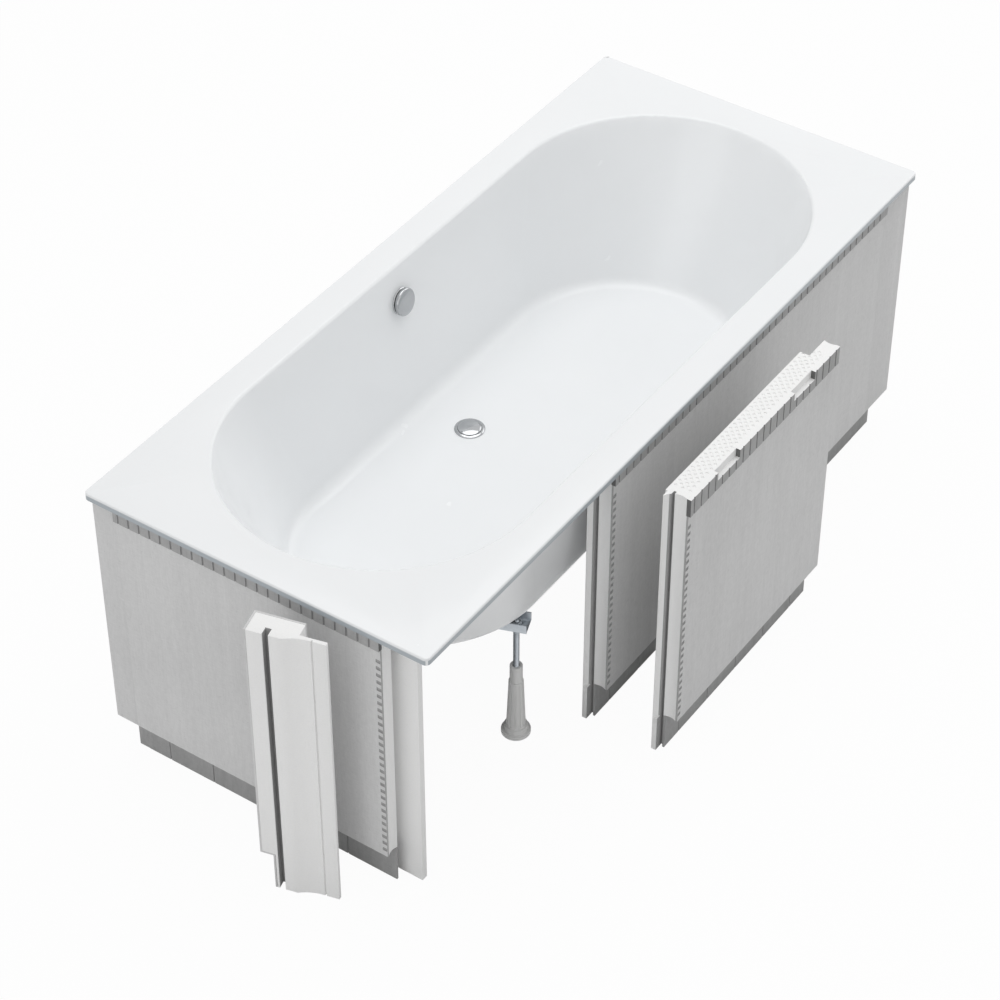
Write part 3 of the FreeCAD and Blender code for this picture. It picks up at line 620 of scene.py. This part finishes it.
def upright_cuts(piece, panel, node, face_y, width, depth, pitch):
    """Cut upright lines right across a panel's strip or plinth, whose face lies at its panel's face_y."""
    low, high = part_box(node)
    size = Vector((width, 2 * depth, high.z - low.z + 2 * depth))
    start = Vector((pitch / 2, face_y, (low.z + high.z) / 2))
    row = cutter_row(size, start, Vector((pitch, 0, 0)), int(panel_length(panel) / pitch))
    settle(row, panel_place(panel))
    cut(piece, row)
    smooth(piece, BOARD_SHADE)


def ticked_strip(panel):
    """A top strip with upright ticks cut into its face, painted shade in the ticks and on its ends and
    notch sides, and bare foam on top.
    """
    node = panel + "_top_strip"
    strip = copy_of(node, panel + "_ticked_strip")
    upright_cuts(strip, panel, node, -STRIP_PROUD, TICK_WIDTH, TICK_DEPTH, RIB_PITCH)
    dress(strip, STRIP_COAT_AND_KEY_SHADE, node)
    to_panel = panel_place(panel).inverted()
    tick_floor = TICK_DEPTH - STRIP_PROUD + HAIR
    # Painted shade: the ticks' floors and sides get a darker grey
    paint(strip, PAINTED_TICK_SHADE, lambda face: abs(face.normal.z) < SIDEWAYS
          and HAIR - STRIP_PROUD < (to_panel @ face.center).y < tick_floor)
    # Painted shade: the strip's ends and notch sides go near-black
    paint(strip, PAINTED_STRIP_END_SHADE, lambda face: abs((to_panel.to_3x3() @ face.normal).x) > END_ON)
    paint(strip, FOAM, lambda face: face.normal.z > STRAIGHT)


def jointed_plinth(panel):
    """A plinth board with upright joints."""
    node = panel + "_plinth"
    plinth = copy_of(node, panel + "_jointed_plinth")
    low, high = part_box(node)
    face_low, face_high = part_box(panel + "_facing")
    set_back = max(abs(low.x - face_low.x), abs(low.y - face_low.y),
                   abs(high.x - face_high.x), abs(high.y - face_high.y))
    upright_cuts(plinth, panel, node, set_back, JOINT_WIDTH, JOINT_DEPTH, JOINT_PITCH)
    # The plinth grey is partly painted shade under the facing's overhang
    dress(plinth, PLINTH_COAT_AND_SHADE, node)


def paint_lip_channel_shade(panel, core):
    """Paint shade into the channel beside a panel's lip and onto the lip's root: a dark grey that is
    painted shade.
    """
    to_panel = panel_place(panel).inverted()

    def beside_lip(face):
        spot, aim = to_panel @ face.center, to_panel.to_3x3() @ face.normal
        in_span = LIP_NEAR < spot.y < LIP_FAR and LIP_ROOT < spot.x < LIP_CHANNEL
        return in_span and (aim.y < -SLANTED or spot.x > 0)

    # Painted shade: dark grey on the lip's channel and root
    paint(core, PAINTED_GROOVE_SHADE, beside_lip)


def pitted_core():
    """The loose panel's foam, with rows of diamond pits in its top."""
    core = copy_of("loose_panel_core", "loose_panel_pitted_core")
    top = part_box("loose_panel_core")[1]
    strip_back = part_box("loose_panel_top_strip")[1].y
    face_low, face_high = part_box("loose_panel_facing")
    span = top.y - strip_back
    rows = int(span / PIT_PITCH * 2) - 1
    for row in range(rows):
        pit = new_block((PIT_SIDE, PIT_SIDE, 2 * PIT_DEPTH))
        pick(pit, "FACE", lambda face: face.normal.z < -STRAIGHT)
        bpy.ops.transform.resize(value=(PIT_FLOOR_SHARE, PIT_FLOOR_SHARE, 1),
                                 center_override=(0, 0, -PIT_DEPTH))
        bpy.ops.object.mode_set(mode="OBJECT")
        start_x = face_low.x + PIT_PITCH * PITS_FROM_END + (row % 2) * PIT_PITCH / 2
        start = Vector((start_x, strip_back + (row + 1) * span / (rows + 1), top.z))
        settle(pit, Matrix.Translation(start) @ Matrix.Rotation(math.radians(PIT_TURN), 4, "Z"))
        pits = int((face_high.x - face_low.x - PIT_FREE_LENGTH) / PIT_PITCH)
        repeat(pit, (PIT_PITCH, 0, 0), pits)
        cut(core, pit)
    smooth(core, BOARD_SHADE)
    dress(core, FOAM, "loose_panel_core")
    paint_lip_channel_shade("loose_panel", core)


def copy_to_feet(model, name, material, node):
    """Stand a copy of a piece, with its own mesh, at each foot, and put the first one away."""
    for foot in FEET:
        piece = bpy.data.objects.new(name + foot, model.data.copy())
        bpy.context.scene.collection.objects.link(piece)
        settle(piece, Matrix.Translation(middle_of_foot(node + foot)))
        smooth(piece, ROUND_SHADE)
        dress(piece, material, node + foot)
    bpy.data.objects.remove(model)


def threaded_rods():
    """The feet's rods with a real thread, turned once and copied."""
    low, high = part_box("foot_rod_front_left")
    radius, height = (high.x - low.x) / 2, high.z - low.z
    clear_selection()
    bpy.ops.mesh.primitive_plane_add(size=THREAD_PITCH)
    rod = bpy.context.object
    bpy.ops.object.mode_set(mode="EDIT")
    bpy.ops.mesh.select_mode(type="VERT")
    bpy.ops.mesh.select_all(action="SELECT")
    bpy.ops.mesh.merge(type="CENTER")
    bpy.ops.transform.translate(value=(radius - THREAD_DEPTH, 0, -THREAD_PITCH))
    for out in (THREAD_DEPTH, -THREAD_DEPTH):
        bpy.ops.mesh.extrude_vertices_move(TRANSFORM_OT_translate={"value": (out, 0, THREAD_PITCH / 2)})
    bpy.ops.object.mode_set(mode="OBJECT")
    turns = int(height / THREAD_PITCH) + SPARE_TURNS
    apply_modifier(rod, "SCREW", {"axis": "Z", "angle": math.tau, "screw_offset": THREAD_PITCH,
                                  "iterations": turns, "steps": THREAD_STEPS,
                                  "render_steps": THREAD_STEPS, "use_merge_vertices": True,
                                  "merge_threshold": MERGE_GAP})
    outward(rod)
    for level, way in ((0.0, (0, 0, -1)), (height, (0, 0, 1))):
        edit_all(rod)
        bpy.ops.mesh.bisect(plane_co=(0, 0, level), plane_no=way, use_fill=True, clear_outer=True)
        bpy.ops.object.mode_set(mode="OBJECT")
    outward(rod)
    copy_to_feet(rod, "threaded_rod_", ZINC, "foot_rod_")


def fluted_cones():
    """The feet's plastic cones with upright flutes, cut once and copied."""
    cone = copy_of("foot_cone_front_left", "fluted_cone")
    settle(cone, Matrix.Translation(-middle_of_foot("foot_cone_front_left")))
    round_edges(cone, CONE_EDGE)
    flute = new_block((2 * FLUTE_DEPTH, FLUTE_WIDTH, FLUTE_HIGH - FLUTE_LOW))
    bpy.ops.transform.translate(value=(FLUTE_LOW_RADIUS, 0, (FLUTE_LOW + FLUTE_HIGH) / 2))
    pick(flute, "FACE", lambda face: face.normal.z > STRAIGHT)
    bpy.ops.transform.translate(value=(FLUTE_HIGH_RADIUS - FLUTE_LOW_RADIUS, 0, 0))
    bpy.ops.transform.resize(value=(1, FLUTE_TOP_SHARE, 1))
    pick(flute, "FACE", lambda face: face.normal.x < -STRAIGHT)
    bpy.ops.transform.resize(value=(1, FLUTE_FLOOR_SHARE, 1))
    bpy.ops.mesh.select_all(action="SELECT")
    for _ in range(FLUTES - 1):
        bpy.ops.mesh.duplicate()
        bpy.ops.transform.rotate(value=math.tau / FLUTES, orient_axis="Z", center_override=(0, 0, 0))
    bpy.ops.object.mode_set(mode="OBJECT")
    outward(flute)
    cut(cone, flute)
    copy_to_feet(cone, "fluted_cone_", FOOT_PLASTIC, "foot_cone_")


def softened(node, width):
    """A solid whose hard edges are slightly rounded."""
    piece = copy_of(node, node + "_softened")
    round_edges(piece, width)
    smooth(piece, ROUND_SHADE)
    dress(piece, coat_of(node), node)
    return piece


def grooved_block_with_slot_shade(corner):
    """A corner block of foam, with a groove at its tongue's root and a dark grey painted into its slot as
    painted shade.
    """
    node = corner + "_block"
    block = softened(node, FOAM_EDGE)
    turn = math.radians(CORNERS[corner])
    turn_back = Matrix.Rotation(-turn, 3, "Z")
    spots = [turn_back @ point.co for point in block.data.vertices]
    near = Vector((min(spot.x for spot in spots), min(spot.y for spot in spots)))
    far = Vector((max(spot.x for spot in spots), max(spot.y for spot in spots)))
    low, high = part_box(node)
    groove = new_tooth(Vector((GROOVE_WIDTH, 2 * GROOVE_DEPTH, GROOVE_OVERRUN * (high.z - low.z))))
    root = Vector((far.x - COVE_DEPTH, far.y - TONGUE_SHOWN + GROOVE_WIDTH, (low.z + high.z) / 2))
    settle(groove, Matrix.Rotation(turn, 4, "Z") @ Matrix.Translation(root)
           @ Matrix.Rotation(math.radians(90), 4, "Z"))
    cut(block, groove)

    def in_slot(face):
        spot = (turn_back @ face.center).xy - near
        return SLOT_LOW.x < spot.x < SLOT_HIGH.x and SLOT_LOW.y < spot.y < SLOT_HIGH.y

    # Painted shade: dark grey on the slot's faces
    paint(block, PAINTED_GROOVE_SHADE, in_slot)


def stepped_coat(corner):
    """A corner block's coat, darker where it steps in to the plinth: partly the plinth's own grey, partly
    painted shade.
    """
    coat = softened(corner + "_coat", COAT_EDGE)
    # Partly painted shade: the plinth grey below the plinth's top
    paint(coat, PLINTH_COAT_AND_SHADE, lambda face: face.center.z < PLINTH_TOP - HAIR)


def seen_straight(tree):
    """1 for the camera's, mirrors' and glass's own rays, and 0 for the light that falls on the tub."""
    direct, mirrored, through = (
        Signal(tree).node("ShaderNodeLightPath", {}, {}, ray)
        for ray in ("Is Camera Ray", "Is Glossy Ray", "Is Transmission Ray"))
    return direct.larger(mirrored.larger(through))


def studio_floor():
    """A white floor that keeps a faint shadow."""
    clear_selection()
    bpy.ops.mesh.primitive_plane_add(size=FLOOR_WIDTH)
    floor = bpy.context.object
    floor.name = "studio_floor"
    floor.location.z = CAD_BOX[0].z - HAIR
    material = bpy.data.materials.new("studio_white")
    material.use_nodes = True
    end_finish(material, {"Base Color": grey(FLOOR_GREY), "Roughness": FLOOR_ROUGHNESS})
    tree = material.node_tree
    matt = Signal(tree, tree.nodes["Principled BSDF"].outputs[0])
    glow = matt.node("ShaderNodeEmission", {}, {})
    share = FLOOR_GLOW * seen_straight(tree)
    mix = matt.node("ShaderNodeMixShader", {}, {0: share, 1: matt, 2: glow})
    tree.links.new(mix.socket, tree.nodes["Material Output"].inputs[0])
    floor.data.materials.append(material)


def studio_light():
    """A sky that looks white but lights the tub softly, and the lamps."""
    world = bpy.data.worlds.new("studio_sky")
    bpy.context.scene.world = world
    world.use_nodes = True
    sky = world.node_tree.nodes["Background"]
    sky.inputs["Color"].default_value = grey(1.0)
    strength = SKY_LEVEL + (1 - SKY_LEVEL) * seen_straight(world.node_tree)
    world.node_tree.links.new(strength.socket, sky.inputs["Strength"])
    for name, place, width, watts in LAMPS:
        lamp = bpy.data.lights.new(name, "AREA")
        lamp.shape = "DISK"
        lamp.size = width
        lamp.energy = watts
        holder = bpy.data.objects.new(name, lamp)
        bpy.context.scene.collection.objects.link(holder)
        holder.location = place
        holder.rotation_euler = (LAMPS_AIM - Vector(place)).to_track_quat("-Z", "Y").to_euler()


def photo_camera():
    """The camera at the photo's angle."""
    low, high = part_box("tub_shell")
    rim_middle = Vector(((low.x + high.x) / 2, (low.y + high.y) / 2, high.z))
    lens = bpy.data.cameras.new("photo_camera")
    lens.lens = PHOTO_LENS
    camera = bpy.data.objects.new("photo_camera", lens)
    bpy.context.scene.collection.objects.link(camera)
    camera.location = rim_middle + PHOTO_STAND
    camera.rotation_euler = (math.radians(90 - PHOTO_ELEVATION), 0, math.radians(PHOTO_AZIMUTH))
    bpy.context.scene.camera = camera
    bpy.context.scene.view_settings.view_transform = "Standard"


coat_solids()
glazed_tub()
for panel in PANELS:
    ribbed_board(panel)
    ticked_strip(panel)
    jointed_plinth(panel)
pitted_core()
threaded_rods()
fluted_cones()
for node, width, slot in SMALL_PIECES:
    softened(node, width)
for corner in CORNERS:
    grooved_block_with_slot_shade(corner)
    stepped_coat(corner)
# The other panels' cores, softened, with painted shade beside their lips
for panel in PANELS:
    if panel != "loose_panel":
        paint_lip_channel_shade(panel, softened(panel + "_core", FOAM_EDGE))
studio_floor()
studio_light()
photo_camera()
